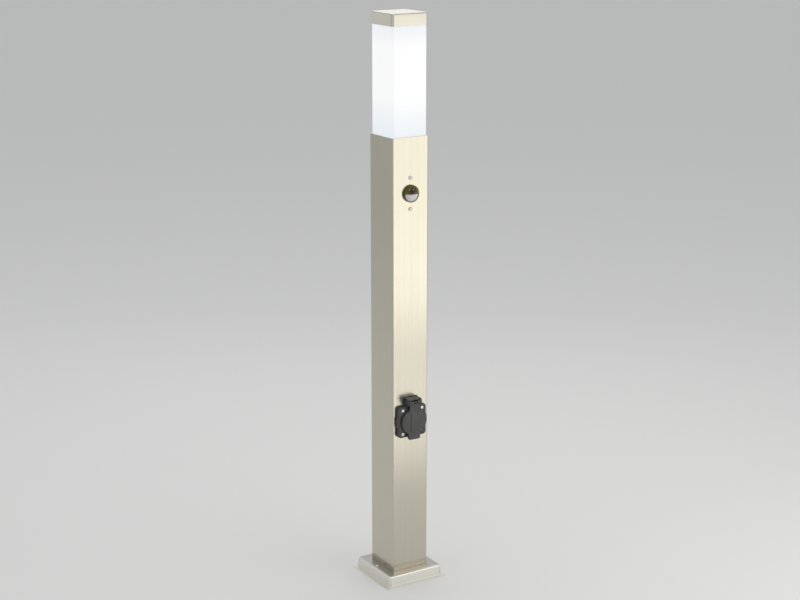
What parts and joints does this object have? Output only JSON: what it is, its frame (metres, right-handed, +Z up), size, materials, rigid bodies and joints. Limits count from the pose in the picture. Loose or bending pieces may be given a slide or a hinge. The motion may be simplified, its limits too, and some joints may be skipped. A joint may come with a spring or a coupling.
{
  "type": "garden socket post",
  "caption": "Square stainless garden post with a lidded outdoor socket, a motion sensor and a lit opal head, on a flanged base cover.",
  "frame": {"origin": "on the ground under the axis of the post, at the middle of the base", "axes": "+Z up along the post; the sensor and the socket face -Y; +X is to the right of someone who faces them"},
  "size_m": [0.135, 0.135, 1.1],
  "materials": {
    "stainless": "fine satin grain along the post",
    "stainless_screw": "bright pan heads",
    "zinc_steel": "zinc plated sheet",
    "spring_steel": "bright spring steel",
    "brass_trim": "bare brass contacts",
    "aluminium_trim": "aluminium rivets",
    "black_rubber": "matt rubber seals",
    "socket_grey": "fine moulded texture, dark grey",
    "socket_black": "dark moulded insert",
    "sensor_dark": "dark olive rim",
    "smoked_hood": "smoked olive brown hood",
    "white_lens": "milky white lens",
    "clear_window": "small pale windows",
    "board_green": "green circuit board",
    "relay_blue": "blue relay case",
    "pale_plastic": "pale terminal plastic",
    "lead_sheath": "sheathed leads",
    "white_ceramic": "white lamp holder",
    "lamp_metal": "plated screw cap",
    "lamp_white": "white lamp body",
    "lamp_opal": "opal globe",
    "opal_diffuser": "satin opal, lit from inside"
  },
  "bodies": {
    "post": {"ground_plate": "zinc_steel", "cable_grommet": "black_rubber", "cover_pillars": "zinc_steel", "base_cover": "stainless", "cover_screws": "stainless_screw", "foot_weld": "zinc_steel", "terminal_bracket": "zinc_steel", "bracket_rivets": "aluminium_trim", "terminal_block": "pale_plastic", "terminal_screws": "brass_trim", "cable_clamp": "pale_plastic", "clamp_screws": "stainless_screw", "lamp_lead": "lead_sheath", "sensor_lead": "lead_sheath", "socket_lead": "lead_sheath", "post_tube": "stainless", "socket_gasket": "black_rubber", "socket_housing": "socket_grey", "socket_cup": "socket_black", "socket_insert": "socket_black", "contact_sleeves": "brass_trim", "earth_clips": "spring_steel", "socket_screws": "stainless_screw", "hinge_pin": "spring_steel", "lid_spring": "spring_steel", "sensor_gasket": "black_rubber", "sensor_housing": "sensor_dark", "sensor_hood": "smoked_hood", "sensor_lens": "white_lens", "hood_windows": "clear_window", "sensor_board": "board_green", "motion_detector": "spring_steel", "light_sensor": "clear_window", "sensor_relay": "relay_blue", "sensor_screws": "stainless_screw", "lamp_deck": "zinc_steel", "head_screws": "stainless_screw", "lamp_holder": "white_ceramic", "holder_shell": "brass_trim", "holder_contact": "brass_trim", "holder_screws": "stainless_screw", "lamp_screw_cap": "lamp_metal", "lamp_body": "lamp_white", "lamp_globe": "lamp_opal", "diffuser_seal": "black_rubber", "diffuser": "opal_diffuser", "cap_seal": "black_rubber", "top_cap": "stainless"},
    "lid": {"socket_lid": "socket_grey", "lid_seal": "black_rubber"}
  },
  "joints": [
    {"name": "lid_hinge", "type": "hinge", "parent": "post", "child": "lid", "pos_m": [0, -0.057, 0.3685], "axis": [-1, 0, 0], "range_deg": [0, 120], "stiffness_Nm_per_rad": 0.03, "springref_deg": -28.65, "deforming": ["lid_spring"]}
  ]
}
